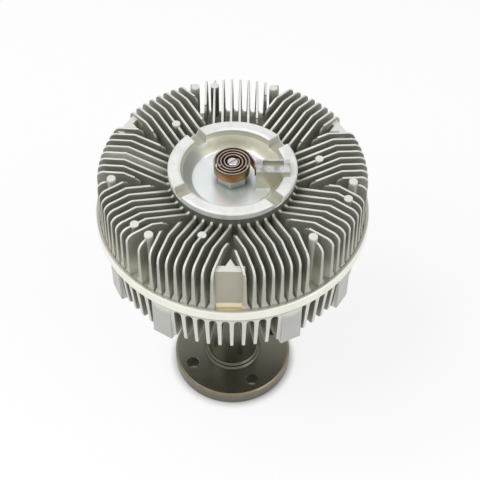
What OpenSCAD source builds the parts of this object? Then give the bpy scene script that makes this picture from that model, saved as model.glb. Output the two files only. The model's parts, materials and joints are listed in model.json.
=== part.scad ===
// Viscous fan clutch for an engine cooling fan.
// The shaft's flange face lies on z = 0 and the axis of rotation is +Z, towards the radiator.

/* [Drive shaft] */
// Diameter of the bolting flange
flange_d = 100; // [96:1:120]
// Thickness of the bolting flange
flange_t = 13; // [10:0.5:18]
// Diameter of the flange bolt circle
flange_pcd = 76.2; // [74:0.1:80]
// Diameter of each flange bolt hole
flange_hole_d = 10.5; // [8:0.5:12]
// Number of flange bolt holes
flange_holes = 4; // [3:1:6]
// Angle of the first flange bolt hole
flange_clock = 26; // [0:1:90]
// Diameter of the pilot recess in the flange face
pilot_d = 44; // [36:1:50]
// Depth of the pilot recess
pilot_depth = 5; // [3:0.5:7]
// Diameter of the shaft's neck
neck_d = 42; // [40:1:46]
// How far the collar at the foot of the neck stands out from it
collar_step = 1.5; // [1:0.25:4]
// Height of the collar
collar_h = 5; // [4:0.5:10]
// Height of the bearing shoulder above the flange face
shoulder_z = 148; // [120:1:180]
// Diameter of the rotor's seat on the shaft
rotor_seat_d = 30; // [28:0.5:32]

/* [Bearing] */
// Bore of the bearing
bearing_bore = 35; // [33:0.5:36]
// Outer diameter of the bearing
bearing_od = 72; // [70:1:76]
// Width of the bearing
bearing_w = 27; // [26:0.5:30]
// Diameter of each ball
ball_d = 10; // [9:0.1:10.4]
// Balls in each row
balls_per_row = 12; // [8:1:12]
// Distance between the two rows of balls
row_gap = 11; // [10.8:0.1:12]

/* [Rotor] */
// Gap between the rotor's edge and the chamber's wall
rotor_gap = 1; // [0.5:0.1:3]
// Thickness of the rotor's disc
rotor_t = 7.5; // [6:0.5:12]
// Diameter of the rotor's hub
rotor_hub_d = 48; // [44:1:60]
// Depth of the recess for the circlip in the rotor's front
rotor_recess = 3.5; // [3:0.5:4.5]
// Number of ring-shaped lands on the rotor
lands = 5; // [3:1:5]
// Distance from one land to the next
land_pitch = 6; // [5:0.5:6.5]
// Width of a land
land_w = 2.4; // [1.5:0.1:2.4]
// Height of a land
land_h = 6.4; // [4:0.2:8]
// Running gap at the lands' ends
land_gap = 0.6; // [0.4:0.1:1]

/* [Rear body] */
// Outer diameter of the housing's machined band
housing_d = 206; // [204:1:216]
// Height of the machined band
band_h = 9.5; // [8:0.5:10]
// Thickness of the body's back wall
body_wall = 7; // [5:0.5:9]
// Width of the housing's rim outside the fluid chamber
chamber_rim = 17; // [16:0.2:17]
// Thickness of the wall round the fluid chamber
chamber_wall = 5; // [4:0.5:6]
// Outer diameter of the bearing hub
hub_d = 92; // [86:1:100]
// How far the bearing hub reaches behind the bearing
hub_skirt = 5; // [4.5:0.5:8]
// Number of pairs of fan bosses
boss_pairs = 4; // [3:1:4]
// Angle between the two bosses of a pair
boss_split = 32; // [28:1:36]
// Angle of the first pair's middle
boss_clock = 42; // [0:1:90]
// Width of a fan boss
boss_w = 16; // [14:0.5:18]
// Diameter of the outer fan bolt circle, in the first boss of each pair
fan_pcd = 178; // [176:0.5:180]
// Diameter of the inner fan bolt circle, in the second boss of each pair
fan_pcd_inner = 172; // [170:0.5:174]
// Tapping diameter of the fan bolt holes
fan_hole_d = 6.8; // [5:0.1:8.5]
// Depth of the fan bolt holes
fan_hole_depth = 24; // [16:1:30]
// How far the bosses reach below the band
boss_drop = 44; // [40:1:50]
// How far the rear fins reach below the band
rear_fin_drop = 43; // [32:1:44]
// Rear fins in the wide gap between two pairs of bosses
wide_gap_fins = 10; // [6:1:10]
// Rear fins in the narrow gap of a pair of bosses
narrow_gap_fins = 4; // [2:1:4]
// Angle from one rear fin to the next
rear_fin_step = 5.26; // [5.1:0.02:5.4]
// Thickness of a rear fin at its tip
rear_fin_tip = 2.2; // [1.6:0.1:2.8]
// Thickness of a rear fin at its root
rear_fin_root = 3.4; // [2.9:0.1:4]

/* [Front cover] */
// Thickness of the cover's clamped edge
edge_t = 5; // [4:0.5:6.5]
// Width of the ledge outside the cover's barrel
ledge_w = 11.6; // [11:0.2:13]
// Thickness of the cover's walls
cover_wall = 5; // [4:0.5:5.5]
// Height of the fins' crest above the ledge
cover_fin_h = 42.9; // [38:0.1:46]
// Number of groups of parallel fins
fin_groups = 9; // [9:3:9]
// Fins in a group
group_fins = 8; // [8:2:8]
// Distance from one fin to the next in a group
fin_pitch = 6.6; // [6.3:0.02:6.8]
// Sideways shift of each group, which lets the ends of neighbouring groups pass each other
group_shift = -1.1; // [-2:0.1:0]
// Thickness of a cover fin at its crest
fin_tip = 1.4; // [1.2:0.1:2]
// Thickness of a cover fin at the ledge
fin_root = 3.4; // [2.6:0.1:3.8]
// Turn of the whole cover about the axis
cover_clock = -1; // [-20:1:20]
// Width of a clamping pad
pad_w = 20.4; // [18:0.2:21]
// Diameter of an ejector pad
ejector_d = 6.4; // [5:0.2:7]

/* [Dish] */
// Outer diameter of the dish's rim
rim_d = 95; // [92:1:97]
// Width of the rim's top
rim_w = 10; // [8:0.5:11]
// Depth of the dish
dish_depth = 13; // [10:0.5:16]
// Diameter of the dish's floor
dish_floor_d = 62; // [58:1:64]
// Height of the rim above the ledge
rim_h = 42.5; // [40:0.5:46]
// Width of the notches in the rim
notch_w = 12; // [8:0.5:14]
// Depth of the notches in the rim
notch_depth = 5.5; // [3:0.5:7]

/* [Valve and coil] */
// Diameter of the valve spindle
spindle_d = 8; // [7:0.5:9]
// Size of the bush's hexagon across its flats
hex_af = 20; // [17:0.5:21]
// Height of the bush's hexagon
hex_h = 8; // [6:0.5:8.5]
// Outer diameter of the bimetal coil
coil_d = 30; // [27:0.5:31]
// Height of the bimetal strip
coil_h = 9; // [7:0.5:12]
// Thickness of the bimetal strip
coil_t = 0.95; // [0.7:0.05:1]
// Turns of the bimetal coil
coil_turns = 4; // [3:1:5]
// Height of the coil's lower edge above the dish's floor
coil_lift = 9; // [9:0.5:13]
// Width of the anchor block
anchor_w = 12.6; // [11:0.2:15]
// Height of the anchor block above the dish's floor
anchor_h = 18; // [16:0.5:21]
// Thickness of the partition plate
plate_t = 1.5; // [1.2:0.1:2]
// Gap between the rotor and the partition plate
plate_gap = 1.5; // [1.2:0.1:2.5]
// Length of the valve arm from the axis
arm_len = 58; // [50:1:62]

/* [Hidden] */
$fn = 96;

// Clearances and small edges
running = 0.05;
ball_clear = 0.06;
pocket_clear = 0.25;
cage_clear = 0.7;
shield_clear = 0.4;
edge = 1;
overlap = 0.5;
past = 1;

// Levels along the axis, from the flange upwards
bearing_top = shoulder_z + bearing_w;
web_t = 3;
chamber_floor = bearing_top + web_t;
disc_z = chamber_floor + land_h + land_gap;
disc_top = disc_z + rotor_t;
seat_z = disc_top + plate_gap;
ledge_z = seat_z + edge_t;
lip_h = 1.5;
band_top = ledge_z + lip_h;
band_z = band_top - band_h;
rim_wall_h = 7;
flange_under = band_z - rim_wall_h;
back_z = chamber_floor - body_wall;
rim_top = ledge_z + rim_h;
dish_floor = rim_top - dish_depth;
coil_z = dish_floor + coil_lift;
coil_top = coil_z + coil_h;
plate_top = seat_z + plate_t;

// Radii of the bearing
bore_r = bearing_bore / 2;
bearing_r = bearing_od / 2;
pitch_r = (bore_r + bearing_r) / 2;
ball_r = ball_d / 2;
race_gap = 0.63 * ball_r;
row_z = [shoulder_z + (bearing_w - row_gap) / 2, shoulder_z + (bearing_w + row_gap) / 2];
shield_t = 1;
shield_in = 0.3;
shield_r = pitch_r + race_gap + 1.2;
cage_rim_t = 1.3;
cage_reach = 0.45 * ball_r;

// Circlips: thickness and how deep they sit
clip_t = 2.4;
clip_bite = 2;
clip_stand = 3.5;
small_clip_t = 1.4;
small_clip_bite = 1;
small_clip_stand = 3;

// Radii of the housing
housing_r = housing_d / 2;
chamber_r = housing_r - chamber_rim;
band_wall = 1.8;
edge_r = housing_r - band_wall;
lip_r = edge_r - edge;
rotor_r = chamber_r - rotor_gap;
barrel_r = edge_r - ledge_w;
plate_seat = 4.5;
reservoir_r = barrel_r - cover_wall - 0.6;
plate_r = reservoir_r + plate_seat;
plate_side_gap = 0.2;
seal_w = 2.8;
seal_h = 2.2;
seal_r = edge_r - 3.6;
web_r = bearing_r - 3;
hub_r = hub_d / 2;

// Fins of the rear body
rear_tip_z = band_z - rear_fin_drop;
rear_fin_top_r = housing_r - 4;
rear_fin_low_r = housing_r - 8;
rear_fin_step_z = 8;
boss_face_r = housing_r - 5;
boss_back_r = fan_pcd_inner / 2 - boss_w * 0.55;
boss_z = band_z - boss_drop;

// Fins of the cover: the profile that all their crests follow
fin_foot_r = lip_r - 0.2;
fin_hub_z = ledge_z + cover_fin_h - 13.4;
crest_r = housing_r - 23.7;
crest_z = ledge_z + cover_fin_h;
brow_r = housing_r - 11;
brow_z = crest_z - 1.6;
brow_round = 7;
rim_r = rim_d / 2;
neck_in = 0.9;
wall_r = rim_r - neck_in;
group_step = 360 / fin_groups;
junction = group_step / 2;
fin_end_gap = [6, 3.4];
fin_end_round = 4;
fin_climb = 2.2;
flare_h = 9;
flare_w = 2.6;
flare_len = 9;

// Floor of the gaps between the cover's fins
gap_hub_z = ledge_z + 12;
gap_crown_r = housing_r - 25;
gap_crown_z = ledge_z + 19;
gap_brow_r = barrel_r - 3.6;
gap_brow_z = ledge_z + 14.5;
gap_foot_z = ledge_z + 1.5;

// Clamping pads
pad_angles = [30, 150, 270];
pad_top = crest_z - 4.9;
pad_face_top_r = housing_r - 8.2;
pad_face_low_r = housing_r - 6.6;
pad_back_r = housing_r - 13.2;
pad_tip_r = housing_r - 19.4;
pad_tip_w = 8;
pad_step_z = ledge_z + 5;
pad_sill_z = ledge_z + 3.6;
pad_sill_r = fin_foot_r - 1.4;

// Ejector pads: on the junctions without a clamping pad, and on some of the fins
ejector_proud = 0.5;
junction_proud = 2.5;
junction_pads = [70, 110, 190, 230, 310, 350];
junction_pad_r = housing_r - 14.6;
outer_pad_s = housing_r - 16.2;
outer_pad_groups = [90, 210, 330];
inner_pad_groups = [10, 130, 250];
inner_pad_s = housing_r * 0.635;
outer_pad_fin = 6;
inner_pad_fin = 4;

// Dish and anchor block
rim_band_h = 5.5;
notch_angles = [37, 129, 213, 314.5];
rim_ease = 2.6;
notch_flare = 3;
anchor_face_x = coil_d / 2 + 2;
anchor_end_x = rim_r - 6;
anchor_shift = -4.5;
anchor_pocket = [15, 4.8, 2.5];
anchor_back_wall = 1.3;
spindle_boss_r = 11;
spindle_boss_h = 9.5;

// Valve and coil
spindle_r = spindle_d / 2;
bush_shank_r = 7;
hex_turn = 22;
bush_z = dish_floor - cover_wall - spindle_boss_h;
spindle_seal_w = 1.15;
spindle_seal_h = 2.2;
spindle_seal_z = bush_z + 4;
arm_t = 1.2;
arm_gap = 0.3;
arm_w = 14;
arm_tip_w = 18;
arm_z = plate_top + arm_gap;
arm_stud_r = 2.5;
port_r = arm_len - 7;
port_d = 7;
port_apart = 9.5;
return_r = reservoir_r - 5;
return_d = 5;
dam_w = 16;
dam_len = 9;
dam_gap = 0.5;
screw_count = 6;
screw_r = reservoir_r + plate_seat / 2;
screw_d = 3;
screw_head_d = 4.4;
screw_head_h = 0.9;
screw_len = 9;
screw_clock = 20;
slot_w = coil_t + 0.25;
slot_depth = coil_h + 1;
coil_start_r = spindle_r + 0.6;
coil_pitch = (coil_d / 2 - coil_t / 2 - coil_start_r) / coil_turns;
coil_step = 7.5;
coil_end_angle = 35;
tail_gap = 0.05;
tail_x = anchor_face_x - coil_t / 2 - tail_gap;
tail_y = [-0.5, -6];

cast_colour = [0.72, 0.72, 0.68];
dark_steel_colour = [0.27, 0.25, 0.2];
steel_colour = [0.6, 0.61, 0.62];
zinc_colour = [0.66, 0.67, 0.6];
bronze_colour = [0.55, 0.36, 0.2];
rubber_colour = [0.1, 0.1, 0.1];
plate_colour = [0.7, 0.66, 0.5];

// Height of the cover fins' crest at radius r
function crest_at(r) =
    r < crest_r ? fin_hub_z + (crest_z - fin_hub_z) * (r - wall_r) / (crest_r - wall_r)
                : crest_z + (brow_z - crest_z) * (r - crest_r) / (brow_r - crest_r);

// Place of the fin number i beside its group's middle line
function fin_offset(i) = (i - (group_fins - 1) / 2) * fin_pitch + group_shift;

// Side of a foot flare: away from the clamping pad at 270 degrees
function flare_side(a) = cos(a) > 0 ? 1 : -1;

// Inner radius of the land number i, counted from the chamber's edge inwards
function land_in(i) = rotor_r - 3 - (i + 1) * land_pitch + (land_pitch - land_w);

// Room beside a land
function land_side() = (land_pitch - 2 * land_w) / 2;

// Points of the coil's middle line, from the slot in the spindle outwards and clockwise
function coil_points() = let(
    turn = 360 * coil_turns,
    n = turn / coil_step,
    spiral = [for (i = [0:n]) let(
        a = coil_end_angle + turn - i * coil_step,
        r = coil_start_r + coil_pitch * i * coil_step / 360) [r * cos(a), r * sin(a)]],
    tab = [-(spindle_r - 0.5) * cos(coil_end_angle), -(spindle_r - 0.5) * sin(coil_end_angle)]
) concat([tab], spiral, [[tail_x, tail_y[0]], [tail_x, tail_y[1]]]);

// Unit direction from point a to point b
function heading(a, b) = (b - a) / norm(b - a);

// Offset of a strip's edge from its middle line at point i
function edge_offset(p, i) = let(
    before = heading(p[max(i - 1, 0)], p[max(i, 1)]),
    after = heading(p[min(i, len(p) - 2)], p[min(i + 1, len(p) - 1)]),
    mid = (before + after) / norm(before + after),
    grow = 1 / max(mid * before, 0.6)) [-mid[1], mid[0]] * grow;

// Outline of a strip of thickness t along the points p
function strip_outline(p, t) = concat(
    [for (i = [0:len(p) - 1]) p[i] + edge_offset(p, i) * t / 2],
    [for (i = [len(p) - 1:-1:0]) p[i] - edge_offset(p, i) * t / 2]);

// A ring of rectangular section
module ring(r_in, r_out, z, h) {
    rotate_extrude() translate([r_in, z]) square([r_out - r_in, h]);
}

// A C-shaped circlip with a gap of the given angle and two eared ends for pliers, at the radius ear_r
module circlip(r_in, r_out, z, t, gap_angle, ear_r, ear_d) {
    difference() {
        union() {
            rotate([0, 0, gap_angle / 2])
                rotate_extrude(angle = 360 - gap_angle) translate([r_in, z]) square([r_out - r_in, t]);
            circlip_ears(z, t, gap_angle, ear_r) circle(d = ear_d);
        }
        circlip_ears(z - past, t + 2 * past, gap_angle, ear_r) circle(d = ear_d * 0.45);
    }
}

// Puts a plate of its child's outline at both ears of a circlip
module circlip_ears(z, t, gap_angle, ear_r) {
    for (side = [-1, 1])
        rotate([0, 0, side * gap_angle / 2]) translate([ear_r, 0, z]) linear_extrude(t) children();
}

// A straight fin of tapering thickness that runs along +X from x0 to x1
module fin_blade(x0, x1, z0, t0, z1, t1) {
    translate([x0, 0, 0])
        rotate([90, 0, 90])
            linear_extrude(x1 - x0)
                polygon([[-t0 / 2, z0], [t0 / 2, z0], [t1 / 2, z1], [-t1 / 2, z1]]);
}

module drive_shaft() {
    flange_r = flange_d / 2;
    neck_r = neck_d / 2;
    collar_r = neck_r + collar_step;
    seat_r = rotor_seat_d / 2;
    bevel = 1.5;
    clip_z = disc_top - rotor_recess;
    end_z = clip_z + small_clip_t + 1.6;
    color(dark_steel_colour) difference() {
        rotate_extrude() polygon([
            [0, pilot_depth], [pilot_d / 2, pilot_depth], [pilot_d / 2, 0],
            [flange_r - bevel, 0], [flange_r, bevel],
            [flange_r, flange_t - bevel], [flange_r - bevel, flange_t],
            [collar_r + bevel, flange_t], [collar_r, flange_t + bevel],
            [collar_r, flange_t + collar_h - bevel], [neck_r, flange_t + collar_h],
            [neck_r, shoulder_z], [bore_r, shoulder_z],
            [bore_r, bearing_top], [seat_r, bearing_top],
            [seat_r, clip_z], [seat_r - small_clip_bite, clip_z],
            [seat_r - small_clip_bite, clip_z + small_clip_t], [seat_r, clip_z + small_clip_t],
            [seat_r, end_z - edge], [seat_r - edge, end_z], [0, end_z]
        ]);
        for (i = [0:flange_holes - 1])
            rotate([0, 0, flange_clock + i * 360 / flange_holes])
                translate([flange_pcd / 2, 0, -past])
                    cylinder(d = flange_hole_d, h = flange_t + 2 * past);
    }
}

// The groove that one row of balls runs in
module raceway(z) {
    translate([0, 0, z])
        rotate_extrude() translate([pitch_r, 0]) circle(r = ball_r + ball_clear);
}

module bearing_inner_race() {
    color(steel_colour) difference() {
        ring(bore_r, pitch_r - race_gap, shoulder_z, bearing_w);
        for (z = row_z) raceway(z);
    }
}

module bearing_outer_race() {
    shield_depth = shield_in + shield_t;
    color(steel_colour) difference() {
        ring(pitch_r + race_gap, bearing_r, shoulder_z, bearing_w);
        for (z = row_z) raceway(z);
        ring(pitch_r, shield_r, shoulder_z - past, shield_depth + past);
        ring(pitch_r, shield_r, bearing_top - shield_depth, shield_depth + past);
    }
}

// One ball at every place of a row
module ball_row(z, r) {
    for (i = [0:balls_per_row - 1])
        rotate([0, 0, i * 360 / balls_per_row]) translate([pitch_r, 0, z]) sphere(r = r);
}

module bearing_balls() {
    color(steel_colour) for (z = row_z) ball_row(z, ball_r);
}

// A crown cage whose closed rim faces the bearing's side
module cage(z, side) {
    rim_z = ball_r + pocket_clear + cage_rim_t;
    low = side < 0 ? z - rim_z : z - cage_reach;
    difference() {
        ring(pitch_r - race_gap + cage_clear, pitch_r + race_gap - cage_clear, low, rim_z + cage_reach);
        ball_row(z, ball_r + pocket_clear);
    }
}

module bearing_cage_rear() {
    color(plate_colour) cage(row_z[0], -1);
}

module bearing_cage_front() {
    color(plate_colour) cage(row_z[1], 1);
}

module bearing_shield_rear() {
    color(steel_colour)
        ring(pitch_r - race_gap + shield_clear, shield_r, shoulder_z + shield_in, shield_t);
}

module bearing_shield_front() {
    color(steel_colour)
        ring(pitch_r - race_gap + shield_clear, shield_r, bearing_top - shield_in - shield_t, shield_t);
}

module bearing_circlip() {
    color(steel_colour)
        circlip(bearing_r - clip_stand, bearing_r + clip_bite, shoulder_z - clip_t, clip_t, 26,
            bearing_r - clip_stand, 5);
}

module rotor() {
    hub = rotor_hub_d / 2;
    bore = rotor_seat_d / 2;
    recess_r = bore + small_clip_stand + 2;
    hub_top = disc_top - rotor_recess;
    color(steel_colour) rotate_extrude() union() {
        polygon([
            [bore, bearing_top], [hub, bearing_top], [hub, disc_z],
            [rotor_r, disc_z], [rotor_r, disc_top - edge], [rotor_r - edge, disc_top],
            [recess_r, disc_top], [recess_r, hub_top], [bore, hub_top]
        ]);
        for (i = [0:lands - 1])
            translate([land_in(i), disc_z - land_h]) square([land_w, land_h + overlap]);
    }
}

module rotor_circlip() {
    seat_r = rotor_seat_d / 2;
    color(steel_colour)
        circlip(seat_r - small_clip_bite, seat_r + small_clip_stand, disc_top - rotor_recess,
            small_clip_t, 30, seat_r + small_clip_stand / 2, small_clip_stand);
}

// Profile of the rear body without its fins and bosses
module rear_shell() {
    chamber_out = chamber_r + chamber_wall;
    rotate_extrude() union() {
        polygon([
            [bearing_r, shoulder_z - hub_skirt], [hub_r - 2 * edge, shoulder_z - hub_skirt],
            [hub_r, shoulder_z - hub_skirt + 2 * edge], [hub_r, back_z - 4], [hub_r + 4, back_z],
            [chamber_out - 3, back_z], [chamber_out, back_z + 3], [chamber_out, flange_under],
            [rear_fin_top_r - edge, flange_under], [rear_fin_top_r, flange_under + edge],
            [rear_fin_top_r + edge, band_z], [housing_r - edge, band_z], [housing_r, band_z + edge],
            [housing_r, band_top - edge], [housing_r - edge, band_top], [lip_r, band_top],
            [lip_r, ledge_z], [edge_r, ledge_z - edge], [edge_r, seat_z],
            [seal_r + seal_w / 2, seat_z], [seal_r + seal_w / 2, seat_z - seal_h],
            [seal_r - seal_w / 2, seat_z - seal_h], [seal_r - seal_w / 2, seat_z],
            [chamber_r, seat_z], [chamber_r, chamber_floor], [web_r, chamber_floor],
            [web_r, bearing_top], [bearing_r, bearing_top], [bearing_r, shoulder_z],
            [bearing_r + clip_bite, shoulder_z], [bearing_r + clip_bite, shoulder_z - clip_t],
            [bearing_r, shoulder_z - clip_t]
        ]);
        for (i = [0:lands - 2])
            translate([land_in(i) - land_side() - land_w, chamber_floor - overlap])
                square([land_w, land_h + overlap]);
    }
}

// Angles of the rear fins, measured from the middle of a pair of bosses
function rear_fin_angles() = concat(
    [for (i = [0:narrow_gap_fins - 1]) (i - (narrow_gap_fins - 1) / 2) * rear_fin_step],
    [for (i = [0:wide_gap_fins - 1]) 180 / boss_pairs + (i - (wide_gap_fins - 1) / 2) * rear_fin_step]);

module rear_fins() {
    intersection() {
        for (i = [0:boss_pairs - 1], a = rear_fin_angles())
            rotate([0, 0, boss_clock + i * 360 / boss_pairs + a])
                fin_blade(hub_r - overlap, housing_r, rear_tip_z, rear_fin_tip,
                    flange_under + overlap, rear_fin_root);
        rotate_extrude() polygon([
            [hub_r - overlap, back_z + overlap], [hub_r - overlap, rear_tip_z + rear_fin_step_z],
            [hub_r + rear_fin_step_z, rear_tip_z], [rear_fin_low_r - 2, rear_tip_z],
            [rear_fin_low_r, rear_tip_z + 2], [rear_fin_top_r - edge, flange_under + overlap],
            [chamber_r + chamber_wall - overlap, flange_under + overlap],
            [chamber_r + chamber_wall - overlap, back_z + 3], [chamber_r, back_z + overlap]
        ]);
    }
}

// A fan boss along +X with its flat outer face, which stops short of the fluid chamber
module fan_boss() {
    inner = chamber_r + chamber_wall - overlap;
    rotate([90, 0, 0]) linear_extrude(boss_w, center = true) polygon([
        [boss_back_r, boss_z], [boss_face_r - edge, boss_z], [boss_face_r, boss_z + edge],
        [boss_face_r, flange_under + overlap], [inner, flange_under + overlap],
        [inner, back_z + body_wall / 2], [boss_back_r, back_z + overlap]
    ]);
}

// Puts its children at one boss of every pair
module at_bosses(side) {
    for (i = [0:boss_pairs - 1])
        rotate([0, 0, boss_clock + i * 360 / boss_pairs + side * boss_split / 2]) children();
}

// The tapped holes of one fan bolt circle
module fan_holes(side, pcd) {
    at_bosses(side)
        translate([pcd / 2, 0, boss_z - past]) cylinder(d = fan_hole_d, h = fan_hole_depth + past);
}

module rear_body() {
    color(cast_colour) difference() {
        union() {
            rear_shell();
            rear_fins();
            at_bosses(-1) fan_boss();
            at_bosses(1) fan_boss();
        }
        fan_holes(-1, fan_pcd);
        fan_holes(1, fan_pcd_inner);
    }
}

// Outside of the cover without its fins, pads and anchor block
module cover_block() {
    floor_r = dish_floor_d / 2;
    rotate_extrude() polygon([
        [0, seat_z], [edge_r, seat_z], [edge_r, ledge_z - edge], [lip_r, ledge_z],
        [barrel_r + 2, ledge_z], [barrel_r, gap_foot_z], [gap_brow_r, gap_brow_z],
        [gap_crown_r, gap_crown_z], [wall_r, gap_hub_z],
        [wall_r, rim_top - rim_band_h - neck_in], [rim_r, rim_top - rim_band_h],
        [rim_r, rim_top - edge], [rim_r - edge, rim_top],
        [rim_r - rim_w + rim_ease, rim_top], [rim_r - rim_w + rim_ease / 3, rim_top - rim_ease / 3],
        [rim_r - rim_w, rim_top - rim_ease],
        [floor_r + 0.5, dish_floor + 2], [floor_r - 2, dish_floor], [0, dish_floor]
    ]);
}

// The fluid reservoir inside the cover, with the seat of the partition plate
module cover_cavity() {
    under = dish_floor - cover_wall;
    hub_in = wall_r - cover_wall;
    rotate_extrude() polygon([
        [0, seat_z - past], [plate_r + plate_side_gap, seat_z - past],
        [plate_r + plate_side_gap, plate_top],
        [reservoir_r, plate_top], [reservoir_r, gap_foot_z + 1],
        [gap_brow_r - cover_wall, gap_brow_z - cover_wall],
        [gap_crown_r, gap_crown_z - cover_wall], [hub_in, gap_hub_z - cover_wall],
        [hub_in, under - cover_wall], [hub_in - cover_wall, under],
        [spindle_boss_r, under], [spindle_boss_r, bush_z], [0, bush_z]
    ]);
}

// Everything that lies under the crests of the cover's fins
module crest_envelope() {
    rotate_extrude() union() {
        polygon([
            [wall_r - overlap, ledge_z - overlap], [fin_foot_r, ledge_z - overlap],
            [fin_foot_r - 0.7, brow_z - brow_round], [brow_r, brow_z], [crest_r, crest_z],
            [wall_r + fin_climb, crest_at(wall_r + fin_climb)],
            [wall_r - overlap, crest_at(wall_r) + fin_climb]
        ]);
        intersection() {
            translate([fin_foot_r - 0.7 - brow_round, brow_z - brow_round]) circle(r = brow_round);
            translate([brow_r - brow_round, brow_z - 2 * brow_round]) square(4 * brow_round);
        }
    }
}

// A small web at a fin's outer foot, on one side of the fin
module foot_flare(side) {
    low = ledge_z - overlap / 2;
    translate([fin_foot_r - flare_len, 0, 0]) rotate([90, 0, 90]) linear_extrude(2 * flare_len) polygon([
        [0, low], [side * (fin_root / 2 + flare_w), low],
        [side * fin_tip / 2, low + flare_h], [0, low + flare_h]
    ]);
}

// One fin of a group that runs along +X, at its offset beside the group's middle line
module group_fin(offset_y) {
    start = abs(offset_y) / tan(junction) + fin_end_gap[offset_y < 0 ? 0 : 1];
    short = start > wall_r;
    x0 = short ? start : wall_r - 3;
    translate([0, offset_y, 0]) difference() {
        fin_blade(x0, housing_r, ledge_z - overlap, fin_root, crest_z + past, fin_tip);
        if (short) fin_end_cut(start);
    }
}

// Rounds the inner end of a short fin down towards the gap's floor
module fin_end_cut(start) {
    top = crest_at(start + fin_end_round);
    translate([start, 0, top - fin_end_round]) rotate([90, 0, 0])
        linear_extrude(2 * fin_root, center = true) difference() {
            translate([-past, 0]) square([fin_end_round + past, 2 * fin_end_round]);
            translate([fin_end_round, 0]) circle(r = fin_end_round);
        }
}

// A short fin along +X from an ejector pad to the cover's edge
module junction_fin() {
    fin_blade(junction_pad_r, housing_r, ledge_z - overlap, fin_root, crest_z + past, fin_tip);
}

module cover_fins() {
    intersection() {
        union() {
            for (g = [0:fin_groups - 1], i = [0:group_fins - 1]) {
                a = 90 + g * group_step;
                rotate([0, 0, a]) group_fin(fin_offset(i));
                rotate([0, 0, a]) translate([0, fin_offset(i), 0]) foot_flare(flare_side(a));
            }
            for (a = junction_pads) rotate([0, 0, a]) {
                junction_fin();
                foot_flare(flare_side(a));
            }
        }
        crest_envelope();
    }
}

// A round ejector pad at x, y that stands proud of the fins
module ejector_pad(x, y, proud) {
    r = norm([x, y]);
    base = ledge_z - overlap;
    translate([x, y, base]) cylinder(d = ejector_d, h = crest_at(r) + proud - base);
}

module ejector_pads() {
    for (a = junction_pads) rotate([0, 0, a]) ejector_pad(junction_pad_r, 0, junction_proud);
    for (a = outer_pad_groups) rotate([0, 0, a])
        ejector_pad(outer_pad_s, fin_offset(outer_pad_fin), ejector_proud);
    for (a = inner_pad_groups) rotate([0, 0, a])
        ejector_pad(inner_pad_s, fin_offset(inner_pad_fin), ejector_proud);
}

// A clamping pad along +X: a thick wall with a flat outer face and a pointed back
module clamping_pad() {
    rotate([90, 0, 0]) linear_extrude(pad_w, center = true) polygon([
        [reservoir_r + 1, ledge_z - overlap], [reservoir_r + 1, gap_foot_z],
        [pad_back_r, pad_top], [pad_face_top_r, pad_top], [pad_face_low_r, pad_step_z],
        [pad_sill_r, pad_sill_z], [pad_sill_r, ledge_z - overlap]
    ]);
    translate([0, 0, gap_foot_z]) linear_extrude(pad_top - gap_foot_z) polygon([
        [pad_tip_r, 0], [pad_back_r + past, -pad_tip_w / 2], [pad_back_r + past, pad_tip_w / 2]
    ]);
}

// The block in the dish that holds the coil's outer end
module anchor_block() {
    pocket_y = anchor_shift + anchor_w / 2 - anchor_back_wall - anchor_pocket[1];
    difference() {
        translate([anchor_face_x, anchor_shift - anchor_w / 2, dish_floor - overlap])
            cube([anchor_end_x - anchor_face_x, anchor_w, anchor_h + overlap]);
        translate([anchor_face_x + 5, pocket_y, dish_floor + anchor_h - anchor_pocket[2]])
            cube([anchor_pocket[0], anchor_pocket[1], anchor_pocket[2] + past]);
    }
}

// A notch across the rim with sloping sides
module rim_notch() {
    translate([rim_r - rim_w - 4, 0, rim_top]) rotate([90, 0, 90]) linear_extrude(rim_w + 8) polygon([
        [-notch_w / 2 - notch_flare / notch_depth, past], [notch_w / 2 + notch_flare / notch_depth, past],
        [notch_w / 2 - notch_flare, -notch_depth], [notch_flare - notch_w / 2, -notch_depth]
    ]);
}

// Puts its children at every plate screw
module at_screws() {
    for (i = [0:screw_count - 1])
        rotate([0, 0, screw_clock + i * 360 / screw_count]) translate([screw_r, 0, 0]) children();
}

module front_cover() {
    color(cast_colour) difference() {
        union() {
            cover_block();
            rotate([0, 0, cover_clock]) {
                cover_fins();
                ejector_pads();
                for (a = pad_angles) rotate([0, 0, a]) clamping_pad();
            }
            anchor_block();
        }
        cover_cavity();
        translate([0, 0, bush_z - past]) cylinder(r = bush_shank_r, h = dish_floor - bush_z + 2 * past);
        for (a = notch_angles) rotate([0, 0, a]) rim_notch();
        at_screws() translate([0, 0, plate_top - past]) cylinder(d = screw_d, h = screw_len + past);
    }
}

module housing_seal() {
    round = 0.6;
    color(rubber_colour) rotate_extrude() translate([seal_r - seal_w / 2, seat_z - seal_h]) polygon([
        [round, 0], [seal_w - round, 0], [seal_w, round], [seal_w, seal_h - round],
        [seal_w - round, seal_h], [round, seal_h], [0, seal_h - round], [0, round]
    ]);
}

module partition_plate() {
    color(plate_colour) difference() {
        union() {
            translate([0, 0, seat_z]) cylinder(r = plate_r, h = plate_t);
            rotate([0, 0, 200]) translate([rotor_r - past - dam_len, -dam_w / 2, disc_top + dam_gap])
                cube([dam_len, dam_w, seat_z - disc_top - dam_gap + overlap]);
        }
        for (side = [-1, 1])
            translate([port_r, side * port_apart / 2, seat_z - past])
                cylinder(d = port_d, h = plate_t + 2 * past);
        rotate([0, 0, 212]) translate([return_r, 0, seat_z - past])
            cylinder(d = return_d, h = plate_t + 2 * past);
        at_screws() translate([0, 0, seat_z - past]) cylinder(d = screw_d, h = plate_t + 2 * past);
        at_screws() translate([0, 0, seat_z - past])
            cylinder(d = screw_head_d, h = screw_head_h + past);
    }
}

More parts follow.
